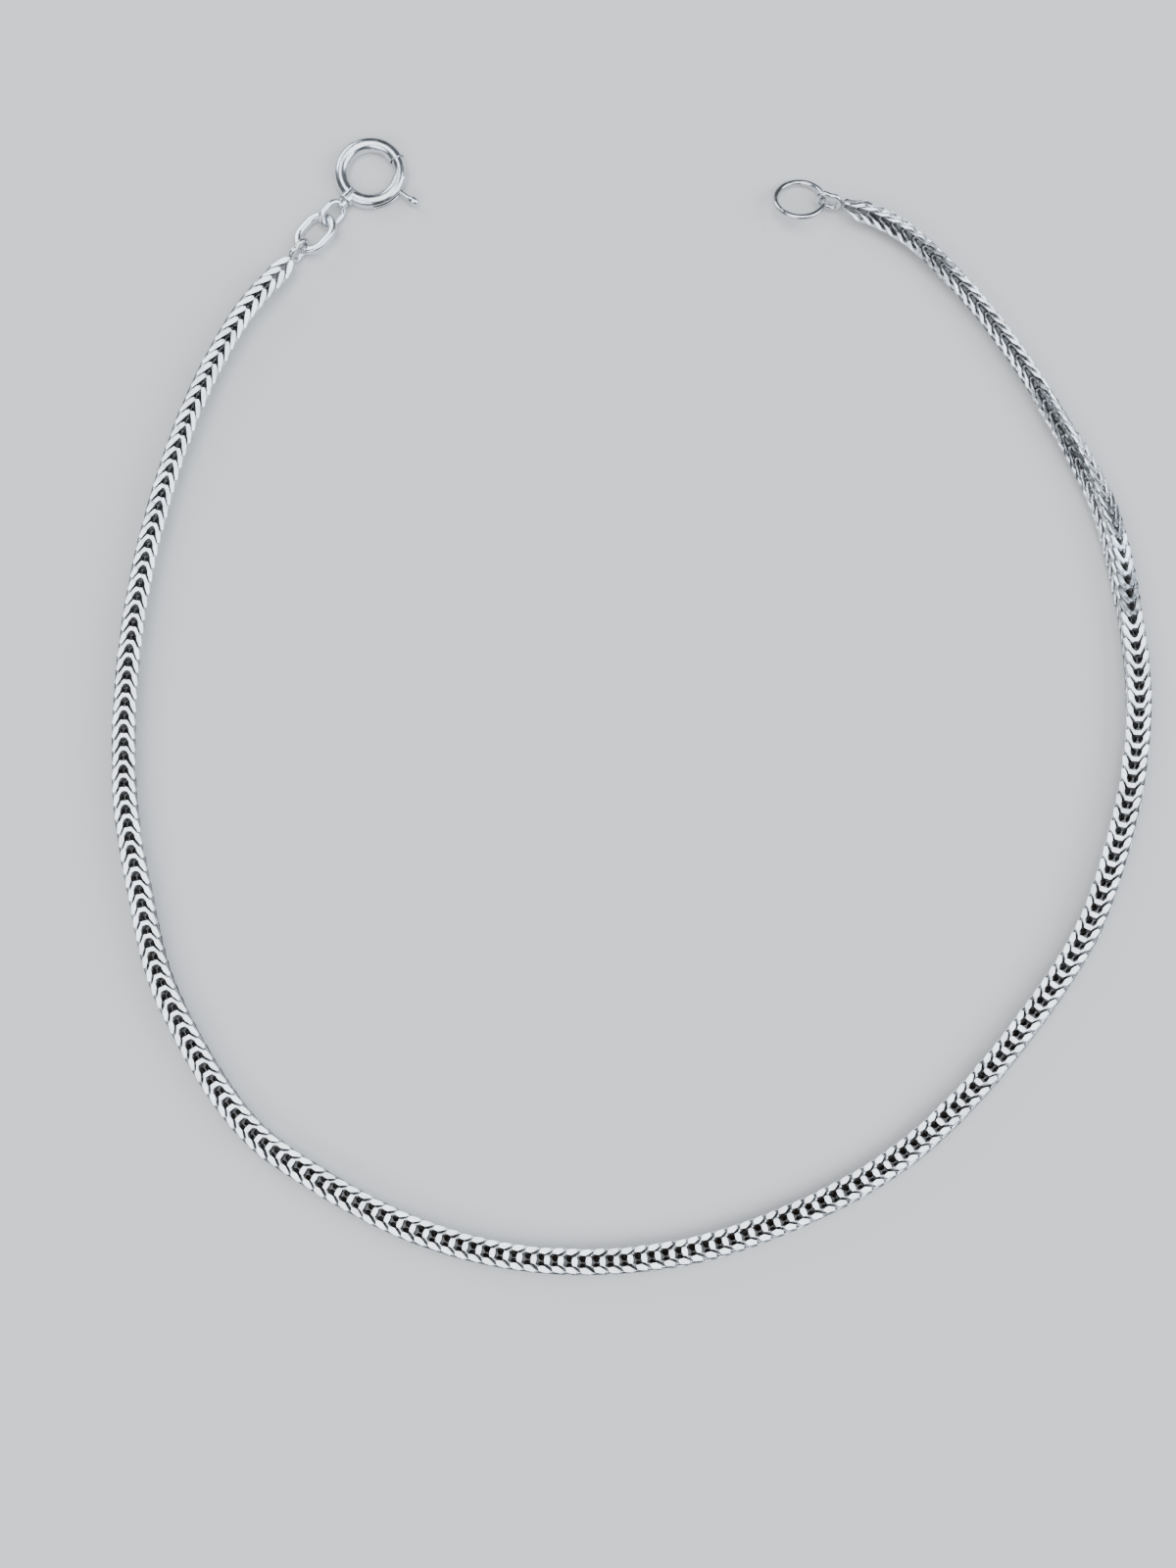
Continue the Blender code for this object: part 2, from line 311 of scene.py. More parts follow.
def grid_quads(rows, columns, closed_rows=True):
    """Quads of a grid of points that closes on itself across its columns, and along its rows if asked."""
    row = np.arange(rows if closed_rows else rows - 1)[:, None]
    column = np.arange(columns)[None, :]
    next_row = (row + 1) % rows
    next_column = (column + 1) % columns
    quads = [row * columns + column, next_row * columns + column,
             next_row * columns + next_column, row * columns + next_column]
    return np.stack([quad + 0 * row + 0 * column for quad in quads], axis=-1).reshape(-1, 4)


def end_fans(rows, columns):
    """Triangles that close both open ends of a grid onto two points that follow the grid's own."""
    first = np.arange(columns)
    after = (first + 1) % columns
    last = (rows - 1) * columns
    pole = rows * columns
    near = np.column_stack([first, after, 0 * first + pole])
    far = np.column_stack([last + after, last + first, 0 * first + pole + 1])
    return np.vstack([near, far])


def solid_rod(name, path, up, section, metal, body="bracelet"):
    """An open path with a section at each point, closed at both ends onto the path's own end points."""
    skin = carried(path, up, section)
    rows, columns = skin.shape[:2]
    points = np.vstack([skin.reshape(-1, 3), path[:1], path[-1:]])
    rod = new_mesh(name, points * MM, grid_quads(rows, columns, False), end_fans(rows, columns))
    return finished(rod, metal, body)


def solid_ring(name, path, up, section, metal, body="bracelet"):
    """A closed path with a section at each point."""
    skin = carried(path, up, section, closed=True)
    ring = new_mesh(name, skin.reshape(-1, 3) * MM, grid_quads(*skin.shape[:2]))
    return finished(ring, metal, body)


def darken(piece, amount):
    """Keeps with each vertex how far tarnish and painted shade darken it, from 0 to 1."""
    layer = piece.data.attributes.new("tarnish_and_shade", "FLOAT", "POINT")
    layer.data.foreach_set("value", amount)


def finished(piece, metal, body):
    """Gives a piece of the clasp or the rings its silver and the body that it moves with."""
    piece.data.materials.append(metal)
    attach(piece, body)
    return piece


def heading(degrees):
    """The level unit vector at an angle from +X."""
    return np.array([math.cos(math.radians(degrees)), math.sin(math.radians(degrees)), 0.0])


def leaning(along, tilt):
    """The two directions across an oval's length: in its plane, and square to its plane."""
    level = np.cross((0, 0, 1), along)
    level /= np.linalg.norm(level)
    rise = np.cross(along, level)
    turn = math.radians(tilt)
    across = level * math.cos(turn) + rise * math.sin(turn)
    return across, np.cross(along, across)


def oval(centre, along, tilt, length, width, wire, count, start=0.0, cut=0.0):
    """Centre line of an oval from an angle round to itself, less a cut: half circles and straight sides.

    Lengthways it is the radius times the cosine, plus half the straight side times the cosine made steep and
    clipped to 1, and crossways the radius times the sine."""
    along = along / np.linalg.norm(along)
    across, square = leaning(along, tilt)
    radius = (width - wire) / 2
    straight = (length - width) / 2
    turn = np.linspace(0, math.tau, OVAL_POINTS)
    lengthways = np.clip(np.cos(turn) * OVAL_STEEP, -1, 1) * straight + radius * np.cos(turn)
    line = centre + along * lengthways[:, None] + across * (radius * np.sin(turn))[:, None]
    walked = np.concatenate([[0], np.cumsum(np.linalg.norm(np.diff(line, axis=0), axis=1))])
    total = walked[-1]
    if cut:
        places, share = rounded_ends(total - cut, 0.05, 0.2, count, 4)
        places = places + cut / 2
    else:
        places = np.arange(count) * total / count
        share = np.ones(count)
    places = (places + start / 360 * total) % total
    return at_lengths(line, places), share, square


def resting_height(tilt, width, wire):
    """How high the middle of a leaning oval lies when its lower side touches the surface."""
    return (width - wire) / 2 * abs(math.sin(math.radians(tilt))) + wire / 2


def hooked(reach, near_wire, far_wire):
    """Where the next ring's near centre line lies when it hooks over one that ends at reach."""
    return reach - near_wire / 2 - far_wire / 2 - LINK_PLAY


def make_end_link(name, centre, along, tilt, metal):
    """An oval of round wire, its straight sides squeezed together at the middle by a bell curve."""
    path, _, square = oval(centre, along, tilt, END_LINK_LONG, END_LINK_WIDE, END_LINK_WIRE, 48)
    away = path - centre
    along = along / np.linalg.norm(along)
    lengthways = (away @ along)[:, None]
    squeeze = END_LINK_PINCH * np.exp(-((lengthways / END_LINK_PINCH_LONG) ** 2))
    path = centre + along * lengthways + (away - along * lengthways) * (1 - squeeze)
    link = solid_ring(name, path, square, squarish(END_LINK_WIRE, END_LINK_WIRE, 2.0, 14)[None], metal)
    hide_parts(name)


def make_clasp_end(chain_end, metal):
    """End link, jump ring and bolt ring, one after another along the clasp's own line."""
    line = heading(CLASP_LINE)
    link_middle = SEAT_GAP + END_LINK_LONG / 2
    link_height = resting_height(JUMP_TILT + 90, END_LINK_WIDE, END_LINK_WIRE)
    make_end_link("clasp_end_link", chain_end + line * link_middle + (0, 0, link_height), line,
                  JUMP_TILT + 90, metal)

    link_reach = link_middle + (END_LINK_LONG - END_LINK_WIRE) / 2
    jump_near = hooked(link_reach, END_LINK_WIRE, JUMP_WIRE)
    jump_reach = jump_near + JUMP_LONG - JUMP_WIRE
    jump_height = resting_height(JUMP_TILT, JUMP_WIDE, JUMP_WIRE)
    centre = chain_end + line * (jump_near + jump_reach) / 2 + (0, 0, jump_height)
    path, share, square = oval(centre, line, JUMP_TILT, JUMP_LONG, JUMP_WIDE, JUMP_WIRE,
                               90, JUMP_CUT_AT, JUMP_CUT)
    section = squarish(JUMP_WIRE, JUMP_WIRE, JUMP_SQUARE, 24)[None] * share[:, None, None]
    jump = solid_rod("clasp_jump_ring", path, square, section, metal)
    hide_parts("clasp_jump_ring")

    eye_near = hooked(jump_reach, JUMP_WIRE, EYE_WIRE)
    eye_middle = eye_near + (EYE_LONG - EYE_WIRE) / 2
    eye_height = resting_height(EYE_TILT, EYE_WIDE, EYE_WIRE)
    eye_centre = chain_end + line * eye_middle + (0, 0, eye_height)
    ring_middle = eye_middle + EYE_LONG / 2 + EYE_CLEAR_OF_RING + RING_OUTER / 2
    ring_centre = chain_end + line * ring_middle + (0, 0, RING_TUBE / 2)
    make_ring_tube(ring_centre, metal)
    make_collar_and_eye(ring_centre, eye_centre, metal)
    make_bolt(ring_centre, metal)


def make_ring_tube(centre, metal):
    """The hollow ring with its slot for the lever, as one skin that a Solidify gives its wall.

    A row of the skin is the circle round the tube from the slot's one edge to its other. The edge stands at
    the angle whose sine is the slot's half width over the tube's radius. The slot's ends are half circles, so
    that half width is sqrt(h^2 - (h - d)^2) at a distance d from the end. Each mouth has a low rolled lip, a
    bell curve added to the radius in the ring's own plane."""
    radius = (RING_OUTER - RING_TUBE) / 2
    spread = math.degrees(SLOT_HALF / (RING_OUTER / 2))
    slot_from = 360 + LEVER_AT - OPENS_BY - spread
    slot_to = 360 + LEVER_AT + spread
    ease = (1 - np.cos(np.linspace(0, math.pi, 15))) / 2 * 2 * spread
    before = np.linspace(MOUTH_TOP, slot_from, 64)[:-1]
    inside = np.linspace(slot_from + 2 * spread, slot_to - 2 * spread, 9)[1:-1]
    after = np.linspace(slot_to, 360 + MOUTH_FOOT, 7)[1:]
    lip = np.array([0.4, 0.9, 1.4, 2.0, 2.8])
    round_angle = np.concatenate([before[:1], MOUTH_TOP + lip, before[1:], slot_from + ease, inside,
                                  slot_to - ease[::-1], after[:-1], 360 + MOUTH_FOOT - lip[::-1], after[-1:]])
    round_angle = np.sort(round_angle)
    from_end = np.minimum(round_angle - slot_from, slot_to - round_angle) * math.radians(1) * RING_OUTER / 2
    near = np.clip(from_end, 0, SLOT_HALF)
    half = np.sqrt(np.clip(SLOT_HALF**2 - (SLOT_HALF - near) ** 2, 0, None))
    edge = np.arcsin(half / (RING_TUBE / 2))
    columns = 33
    round_tube = edge[:, None] + (math.tau - 2 * edge)[:, None] * np.linspace(0, 1, columns)[None]
    to_mouth = np.minimum(round_angle - MOUTH_TOP, 360 + MOUTH_FOOT - round_angle)
    thick = RING_TUBE / 2 + MOUTH_LIP * np.exp(-((to_mouth - MOUTH_LIP_AT) / MOUTH_LIP_AT) ** 2)
    out = radius + thick[:, None] * np.cos(round_tube)
    turn = np.radians(round_angle)[:, None]
    points = np.stack([out * np.cos(turn), out * np.sin(turn), RING_TUBE / 2 * np.sin(round_tube)], axis=-1)
    number = np.arange(points.shape[0] * columns).reshape(-1, columns)
    number[:, -1] = np.where(edge == 0, number[:, 0], number[:, -1])
    quads = np.stack([number[:-1, :-1], number[1:, :-1], number[1:, 1:], number[:-1, 1:]], axis=-1)
    quads = quads.reshape(-1, 4)
    used, quads = np.unique(quads, return_inverse=True)
    tube = new_mesh("clasp_ring", (points.reshape(-1, 3)[used] + centre) * MM, quads.reshape(-1, 4))
    wall = tube.modifiers.new("wall", "SOLIDIFY")
    wall.thickness = RING_WALL * MM
    wall.offset = -1
    rim = tube.modifiers.new("rim", "BEVEL")
    rim.width = RIM_SOFT * MM
    rim.segments = 2
    rim.limit_method = "ANGLE"
    rim.angle_limit = math.radians(50)
    finished(tube, metal, "bracelet")
    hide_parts("clasp_ring")


def make_collar_and_eye(ring_centre, eye_centre, metal):
    """The ferrule between ring and eye, turned with one groove, and the eye that is soldered to it.

    Along the ferrule the radius is the foot's, less a step at the groove (a logistic curve), less the groove
    itself (a bell curve) and less a quarter turn at the tip, where it closes over the eye."""
    back = heading(CLASP_LINE + 180)
    reach = np.concatenate([np.linspace(0, 0.72, 34), np.linspace(0.74, 1, 14)])
    from_middle = FERRULE_FROM + (FERRULE_TO - FERRULE_FROM) * reach
    height = np.interp(from_middle, [FERRULE_FROM, FERRULE_TO], [ring_centre[2], eye_centre[2]])
    past_groove = from_middle - FERRULE_GROOVE
    groove = FERRULE_GROOVE_DEEP * np.exp(-((past_groove / FERRULE_GROOVE_HALF) ** 2))
    step = (FERRULE_WIDE - FERRULE_NARROW) / 2 / (1 + np.exp(-past_groove * FERRULE_STEP_STEEP))
    tip = 1 - np.sqrt(1 - np.clip((from_middle - FERRULE_TO + FERRULE_TIP) / FERRULE_TIP, 0, 1) ** 2)
    width = (FERRULE_WIDE / 2 - groove - step) * (1 - 0.9 * tip)
    path = ring_centre + from_middle[:, None] * back
    path[:, 2] = height
    section = squarish(1, 1, 2, 28)[None] * 2 * width[:, None, None]
    ferrule = solid_rod("clasp_collar", path, (0, 0, 1), section, metal)
    # The groove is darkened by its depth: tarnish with painted shade in it
    in_groove = np.repeat(groove / FERRULE_GROOVE_DEEP * 0.8, 28)
    darken(ferrule, np.concatenate([in_groove, [0, 0]]))
    path, _, square = oval(eye_centre, -back, EYE_TILT, EYE_LONG, EYE_WIDE, EYE_WIRE, 72)
    section = squarish(EYE_WIRE, EYE_WIRE, EYE_SQUARE, 20)[None]
    solid_ring("clasp_eye", path, square, section, metal)


def make_bolt(centre, metal):
    """The bent rod, rounded at its tip, and the lever, a stem that widens into the knob's flattened ball.

    The knob's half width at a distance d from its middle is its flatness times sqrt(r^2 - d^2)."""
    radius = (RING_OUTER - RING_TUBE) / 2
    start = LEVER_AT - BOLT_TAIL
    sweep = MOUTH_TOP + BOLT_ENTERS - start
    length = math.radians(sweep) * radius
    distance, share = rounded_ends(length, BOLT_ACROSS / 3, BOLT_TIP_NARROWS, 44)
    turn = math.radians(start) + distance / radius
    path = centre + radius * np.column_stack([np.cos(turn), np.sin(turn), 0 * turn])
    section = squarish(BOLT_ACROSS, BOLT_ACROSS, 2, 24)[None] * share[:, None, None]
    bolt = solid_rod("clasp_bolt", path, (0, 0, 1), section, metal, "bolt")
    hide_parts("clasp_bolt")

    out = heading(LEVER_AT)
    knob_middle = RING_OUTER / 2 + LEVER_REACH
    reach = np.concatenate([np.linspace(radius, knob_middle - KNOB_ACROSS / 2 - 0.1, 10),
                            knob_middle - KNOB_ACROSS / 2 * np.cos(np.linspace(0.35, math.pi - 0.02, 22))])
    ball = np.sqrt(np.clip(1 - ((reach - knob_middle) / (KNOB_ACROSS / 2)) ** 2, 0, None))
    width = np.where(reach < knob_middle, np.maximum(LEVER_STEM / 2, KNOB_ACROSS * KNOB_FLAT / 2 * ball),
                     KNOB_ACROSS * KNOB_FLAT / 2 * ball)
    path = centre + reach[:, None] * out
    section = squarish(1, 1, 2, 24)[None] * 2 * width[:, None, None]
    solid_rod("clasp_lever", path, (0, 0, 1), section, metal, "bolt")


def make_catch_end(last, metal):
    """The catch ring, cut through at one place, and the end link that holds it, raised as the ring leans.

    The link's slope is the line from the chain's end to where the ring's wire lies in the link."""
    ring_height = resting_height(CATCH_TILT, CATCH_OUTER, CATCH_WIRE)
    from_end = hooked(SEAT_GAP + END_LINK_LONG - END_LINK_WIRE / 2, END_LINK_WIRE, CATCH_WIRE)
    rise = ring_height - last[2]
    level = math.sqrt(from_end**2 - rise**2)
    held = last + heading(CATCH_LINK_LINE) * level + (0, 0, rise)
    slope = (held - last) / np.linalg.norm(held - last)
    link_middle = last + slope * (SEAT_GAP + END_LINK_LONG / 2)
    make_end_link("catch_end_link", link_middle, slope, CATCH_TILT + 90, metal)
    middle = held + heading(CATCH_LINE) * (CATCH_OUTER - CATCH_WIRE) / 2
    path, share, square = oval(middle, heading(CATCH_LINE), CATCH_TILT, CATCH_OUTER, CATCH_OUTER, CATCH_WIRE,
                               96, CATCH_CUT_AT, CATCH_CUT)
    section = squarish(CATCH_WIRE, CATCH_WIRE, CATCH_SQUARE, 20)[None] * share[:, None, None]
    ring = solid_rod("catch_ring", path, square, section, metal)
    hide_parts("catch_ring")


def one_link(packed):
    """A folded link, worn flat at its faces: points, quads, each quad's kind, and which points are on a flat.

    A closed wire runs through the quarter path mirrored in v and w. Its section is a circle whose top is cut
    by the chain's face and whose outer side is cut by the flank: a flat's corners stand at the angle whose
    cosine is the centre's depth under the flat over the half width. The rest is spread evenly."""
    quarter = np.array(LINK_QUARTER)
    closer = np.array(PACKED_QUARTER)
    quarter[: len(closer), 1:] += packed * (closer - quarter[: len(closer), 1:])
    under = quarter[::-1][1:] * (1, 1, -1, 1)
    half = np.vstack([quarter, under])
    other = half[::-1][1:-1] * (1, -1, 1, 1)
    knots = np.vstack([half, other])
    fine = smooth_path(knots, SPAN_POINTS, True)
    path = evenly(fine, LINK_SAMPLES, np.where(np.abs(fine[:, 2]) > CLOSER_ABOVE, CLOSER_BY, 1))
    path, radius = path[:, :3], path[:, 3]
    along = np.roll(path, -1, axis=0) - np.roll(path, 1, axis=0)
    along /= np.linalg.norm(along, axis=1, keepdims=True)
    lean = np.clip(path[:, 0] - EAR_TURNS_AT, 0, None) * EAR_TURN
    outward = np.column_stack([lean, 0 * lean, np.tanh(path[:, 2] * FACE_TURN)])
    inward = np.cross(along, outward)
    inward /= np.linalg.norm(inward, axis=1, keepdims=True)
    top = np.cross(inward, along)
    crest = math.radians(CREST)
    face_reach = radius * np.abs(top[:, 2])
    flank_reach = radius * np.abs(inward[:, 1])
    face = np.arccos(np.clip((FACE_HALF - np.abs(path[:, 2])) / face_reach, 0, 1))
    flank = np.arccos(np.clip((FLANK_HALF - np.abs(path[:, 1])) / flank_reach, 0, 1))
    face = np.clip(face, crest, math.pi / 2 - 2 * crest)
    flank = np.clip(flank, crest, math.pi / 2 - crest - face)
    start = math.pi + flank
    stop = 2.5 * math.pi - face
    spread = start[:, None] + (stop - start)[:, None] * np.linspace(0, 1, 6)[None, 1:-1]
    turn = np.column_stack([math.pi / 2 - face, math.pi / 2 + face, math.pi - flank, math.pi + flank, spread])
    ring = inward[:, None] * np.cos(turn)[..., None] + top[:, None] * np.sin(turn)[..., None]
    points = path[:, None] + radius[:, None, None] * ring
    points[..., 2] = np.clip(points[..., 2], -FACE_HALF, FACE_HALF)
    points[..., 1] = np.clip(points[..., 1], -FLANK_HALF, FLANK_HALF)
    sides = turn.shape[1]
    kind = np.zeros((LINK_SAMPLES, sides), int)
    kind[:, 0] = 1
    kind[:, 2] = 2
    worn = np.zeros((LINK_SAMPLES, sides), bool)
    worn[:, :4] = True
    return points.reshape(-1, 3), grid_quads(LINK_SAMPLES, sides), kind.ravel(), worn.ravel()


def depth_inside(points):
    """How deep each point of a link lies under the chain's nearest face."""
    return np.minimum(FACE_HALF - np.abs(points[:, 2]), FLANK_HALF - np.abs(points[:, 1]))


def crease(mesh, quads, kind):
    """Marks as sharp each edge whose two quads are of different kinds."""
    count = len(mesh.edges)
    loops = np.empty(len(mesh.loops), np.int32)
    mesh.loops.foreach_get("edge_index", loops)
    per_loop = np.repeat(kind, 4)
    low = np.full(count, 9)
    high = np.full(count, -1)
    np.minimum.at(low, loops, per_loop)
    np.maximum.at(high, loops, per_loop)
    sharp = mesh.attributes.new("sharp_edge", "BOOLEAN", "EDGE")
    sharp.data.foreach_set("value", low != high)


def chain_frames(chance):
    """Place, direction, side and up of every link along the route, rolled, and its share of the way.

    Each link is rolled and slid by a chance amount of its own, within the play that the links have."""
    line = smooth_path(ROUTE, ROUTE_POINTS, False)
    total = np.linalg.norm(np.diff(line, axis=0), axis=1).sum()
    count = int((total - LINK_REACH) / LINK_PITCH) + 1
    start = total - LINK_REACH - (count - 1) * LINK_PITCH
    places = start + np.arange(count) * LINK_PITCH + chance.normal(0, LINK_SLIDES, count)
    here = at_lengths(line, places) - ORIGIN
    along = at_lengths(line, places + LINK_PITCH) - ORIGIN - here
    along /= np.linalg.norm(along, axis=1, keepdims=True)
    along = np.column_stack([along, np.zeros(count)])
    level = np.column_stack([-along[:, 1], along[:, 0], np.zeros(count)])
    rolled = np.interp(places / total, ROLL_AT, ROLL_BY) + chance.normal(0, LINK_ROLLS, count)
    roll = np.radians(rolled)[:, None]
    rise = np.array([[0, 0, 1.0]])
    side = level * np.cos(roll) + rise * np.sin(roll)
    up = np.cross(along, side)
    middle = np.column_stack([here, np.zeros(count)])
    return middle, along, side, up, places / total


def make_chain(metal):
    """All the links as one mesh: the one link's points carried to each place by its three directions.

    Each link is then set down by the mean of the lowest points of the five round it."""
    chance = np.random.default_rng(6)
    points, quads, kind, worn = one_link(0)
    closer = one_link(1)[0]
    middle, along, side, up, share = chain_frames(chance)
    packed = np.interp(share, PACKED_AT, PACKED_BY)
    local = points[None] + packed[:, None, None] * (closer - points)[None]
    local[..., 1] *= np.interp(share, WIDE_AT, WIDE_BY)[:, None]
    local[..., 2] *= np.interp(share, WIDE_AT, DEEP_BY)[:, None]
    placed = (middle[:, None] + local[..., 0:1] * along[:, None] + local[..., 1:2] * side[:, None]
              + local[..., 2:3] * up[:, None])
    lowest = placed[..., 2].min(axis=1)
    placed[..., 2] -= np.convolve(np.pad(lowest, 2, mode="edge"), np.full(5, 0.2), "valid")[:, None]
    placed[..., 2] = np.maximum(placed[..., 2], 0)
    copies = len(middle)
    shifts = np.arange(copies)[:, None, None] * len(points)
    chain = new_mesh("foxtail_links", placed.reshape(-1, 3) * MM, (quads[None] + shifts).reshape(-1, 4))
    chain.data.materials.append(metal)
    crease(chain.data, quads, np.tile(kind, copies))
    # Tarnish with painted shade: darker the deeper a point lies under the chain's faces, and on the sides
    # that wear has not flattened
    tarnish_and_shade = np.clip((depth_inside(points) - TARNISH_AND_SHADE_FROM) / (TARNISH_AND_SHADE_FULL - TARNISH_AND_SHADE_FROM), 0, 1)
    tarnish_and_shade = np.maximum(tarnish_and_shade, np.where(worn, 0, TARNISH_AND_SHADE_SIDES))
    darken(chain, (tarnish_and_shade[None] * (1 - PACKED_KEEPS_BRIGHT * packed[:, None])).ravel())
    wear = chain.data.attributes.new("wear", "FLOAT", "POINT")
    wear.data.foreach_set("value", np.repeat(chance.uniform(0, 1, copies), len(points)))
    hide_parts("chain")
    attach(chain, "bracelet")


def add_node(tree, kind, settings=None, **links):
    """A node with its settings, each input given as a value or as another node's output."""
    node = tree.nodes.new(kind)
    for name, value in (settings or {}).items():
        setattr(node, name, value)
    for name, value in links.items():
        socket = node.inputs[int(name[1:]) if name[0] == "_" else name.replace("_", " ")]
        if isinstance(value, bpy.types.NodeSocket):
            tree.links.new(value, socket)
        else:
            socket.default_value = value
    return node


def silver(name, clean, film, dark, rough, rough_dark):
    """Sterling silver: clean metal, the thin film that years of wear leave on it, and tarnish with painted
    shade in its hollows.

    Film, grime and handling are noises of their own sizes. Hairline scratches are a noise squeezed across its
    length, once in each of two directions. Handling marks dull the polish and are dented a little."""
    material = bpy.data.materials.new(name)
    material.use_nodes = True
    tree = material.node_tree
    shader = tree.nodes["Principled BSDF"]
    shader.inputs["Metallic"].default_value = 1.0
    place = add_node(tree, "ShaderNodeTexCoord").outputs["Object"]
    # The darkening attribute holds tarnish with painted shade in hollows and on unworn sides
    tarnish_and_shade = add_node(tree, "ShaderNodeAttribute", {"attribute_name": "tarnish_and_shade"}).outputs["Fac"]
    wear = add_node(tree, "ShaderNodeAttribute", {"attribute_name": "wear"}).outputs["Fac"]

    patches = add_node(tree, "ShaderNodeTexNoise", Vector=place, Scale=1 / (FILM_PATCH * MM), Detail=4.0,
                       Roughness=0.6)
    filmed = add_node(tree, "ShaderNodeMapRange", Value=patches.outputs["Fac"], From_Min=0.42, From_Max=0.72,
                      To_Max=0.75)
    per_link = add_node(tree, "ShaderNodeMath", {"operation": "MULTIPLY_ADD", "use_clamp": True},
                        _0=wear, _1=0.3, _2=filmed.outputs["Result"])
    skin = add_node(tree, "ShaderNodeMix", {"data_type": "RGBA"}, _0=per_link.outputs[0], _6=linear(clean),
                    _7=linear(film))
    grime = add_node(tree, "ShaderNodeTexNoise", Vector=place, Scale=1 / (GRIME_SPOT * MM), Detail=3.0)
    uneven = add_node(tree, "ShaderNodeMapRange", Value=grime.outputs["Fac"], From_Min=0.3, From_Max=0.7,
                      To_Min=0.7, To_Max=1.25)
    # Tarnish and painted shade, made uneven by the grime spots, mix the dark colour in
    darkened = add_node(tree, "ShaderNodeMath", {"operation": "MULTIPLY", "use_clamp": True},
                        _0=tarnish_and_shade, _1=uneven.outputs["Result"])
    colour = add_node(tree, "ShaderNodeMix", {"data_type": "RGBA"}, _0=darkened.outputs[0],
                      _6=skin.outputs[2], _7=linear(dark))
    tree.links.new(colour.outputs[2], shader.inputs["Base Color"])

    marks = add_node(tree, "ShaderNodeTexNoise", Vector=place, Scale=1 / (HANDLING_SPOT * MM), Detail=3.0,
                     Roughness=0.7)
    dulled = add_node(tree, "ShaderNodeMapRange", Value=marks.outputs["Fac"], From_Min=0.4, From_Max=0.75,
                      To_Min=rough, To_Max=rough + HANDLING)
    roughness = add_node(tree, "ShaderNodeMix", {"data_type": "FLOAT"}, _0=darkened.outputs[0],
                         _2=dulled.outputs["Result"], _3=rough_dark)
    tree.links.new(roughness.outputs[0], shader.inputs["Roughness"])

    hairs = 1 / (HAIRLINE_LONG * MM)
    one_way = add_node(tree, "ShaderNodeMapping", Vector=place, Rotation=(0.2, 0.1, 0.6),
                       Scale=(1.0, HAIRLINE_NARROWER, HAIRLINE_NARROWER / 2))
    hair = add_node(tree, "ShaderNodeTexNoise", Vector=one_way.outputs[0], Scale=hairs, Detail=2.0)
    other_way = add_node(tree, "ShaderNodeMapping", Vector=place, Rotation=(0.5, 0.3, 2.1),
                         Scale=(HAIRLINE_NARROWER, 1.0, HAIRLINE_NARROWER / 2))
    cross = add_node(tree, "ShaderNodeTexNoise", Vector=other_way.outputs[0], Scale=hairs, Detail=2.0)
    scratches = add_node(tree, "ShaderNodeMath", {"operation": "MAXIMUM"}, _0=hair.outputs["Fac"],
                         _1=cross.outputs["Fac"])
    dents = add_node(tree, "ShaderNodeBump", Strength=0.35, Distance=DENT_DEEP * MM,
                     Height=marks.outputs["Fac"])
    bump = add_node(tree, "ShaderNodeBump", Strength=0.3, Distance=SCRATCH_DEEP * MM,
                    Height=scratches.outputs[0], Normal=dents.outputs["Normal"])
    tree.links.new(bump.outputs["Normal"], shader.inputs["Normal"])
    return material


def ring_silver():
    """Sterling silver tube and wire, polished bright and then worn.

    The eye sees a soft bright skin that picks up hairlines, a faint warm film, and dark joints, tarnish with
    painted shade in the collar's groove."""
    return silver("ring_silver", "#e6e9ec", "#b9b2a9", "#4c4640", 0.16, 0.45)


def chain_silver():
    """Sterling silver wire, tumbled bright outside and left to darken between the links, where shade is
    painted too.

    The eye sees white flats where the chain has rubbed, greyer arms with painted shade on their sides, and
    brown black in the gaps, tarnish with painted shade."""
    return silver("chain_silver", "#f2f5f7", "#bfbfbe", "#50443a", 0.14, 0.5)


def make_camera():
    """The camera above the picture's middle, tilted towards the near edge as the photographer's was."""
    data = bpy.data.cameras.new("camera")
    data.sensor_fit = "HORIZONTAL"
    data.sensor_width = 36
    data.lens = 63
    data.clip_start = 0.001
    camera = bpy.data.objects.new("camera", data)
    bpy.context.scene.collection.objects.link(camera)
    camera.location = (np.array(CAMERA_AT) - (*ORIGIN, 0)) * MM
    camera.rotation_euler = (math.radians(PICTURE_TILT), 0, 0)
    bpy.context.scene.camera = camera


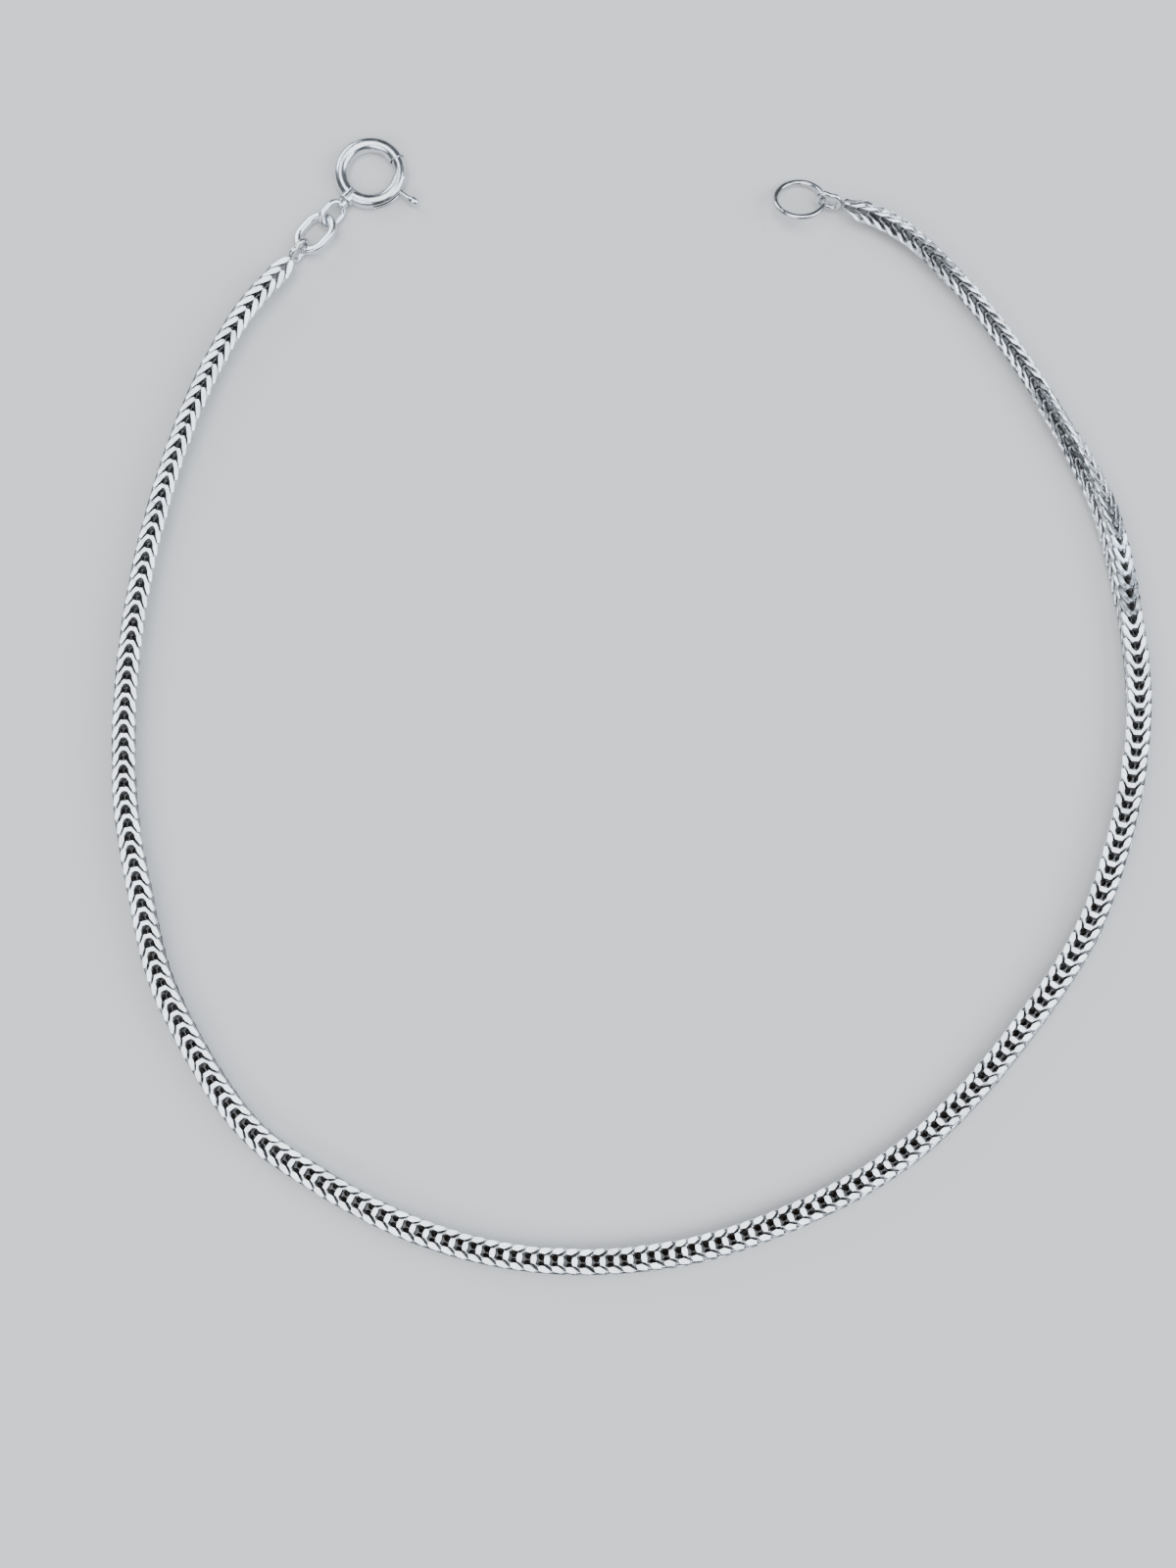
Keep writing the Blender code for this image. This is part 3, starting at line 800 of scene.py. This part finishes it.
def make_floor():
    """A plain pale floor: matt, slightly warm, one square."""
    points = FLOOR_HALF * np.array([(-1, -1, 0), (1, -1, 0), (1, 1, 0), (-1, 1, 0)])
    floor = new_mesh("floor", points, np.array([(0, 1, 2, 3)]), smooth=False)
    material = bpy.data.materials.new("pale_floor")
    material.use_nodes = True
    shader = material.node_tree.nodes["Principled BSDF"]
    shader.inputs["Base Color"].default_value = linear("#d9d6d2")
    shader.inputs["Roughness"].default_value = 0.8
    floor.data.materials.append(material)


def make_light(name, place, sizes, turn, radiance, colour):
    """An oval soft box that shines from a place in metres at the bracelet's middle, its long side turned.

    Its power is the radiance times pi times the area of the oval."""
    data = bpy.data.lights.new(name, "AREA")
    data.shape = "ELLIPSE"
    data.size, data.size_y = sizes
    data.energy = radiance * math.pi * math.pi * sizes[0] * sizes[1] / 4
    data.color = linear(colour)[:3]
    lamp = bpy.data.objects.new(name, data)
    bpy.context.scene.collection.objects.link(lamp)
    lamp.location = place
    away = np.array(place) / np.linalg.norm(place)
    facing = math.atan2(away[1], away[0]) + math.pi / 2
    lamp.rotation_euler = (math.acos(away[2]), 0, facing + math.radians(turn))


def make_surroundings():
    """A dim, cool grey room all round, which shades the silver between the lights."""
    world = bpy.data.worlds.new("studio")
    bpy.context.scene.world = world
    world.use_nodes = True
    world.node_tree.nodes["Background"].inputs["Color"].default_value = linear("#a8afb6")
    world.node_tree.nodes["Background"].inputs["Strength"].default_value = 0.3


def main():
    """Sets the room and its lights, then dresses the chain, the clasp's end and the free end."""
    make_camera()
    make_floor()
    make_surroundings()
    make_light("ceiling", (0.0, 0.001, 0.70), (1.0, 0.55), 135, 3.9, "#eef5ff")
    make_light("side_window", (0.58, -0.05, 0.42), (0.7, 0.62), 0, 4.8, "#e0edff")
    make_light("near_window", (-0.32, -0.42, 0.50), (0.6, 0.5), 0, 3.6, "#eef4ff")
    make_light("far_window", (-0.45, 0.50, 0.34), (0.5, 0.4), 0, 5.0, "#e9f2ff")
    chain_metal = chain_silver()
    ring_metal = ring_silver()
    make_chain(chain_metal)
    route = np.array(ROUTE) - ORIGIN
    make_clasp_end(np.array([*route[0], 0.0]), ring_metal)
    make_catch_end(np.array([*route[-1], CHAIN_END_HEIGHT]), ring_metal)


main()
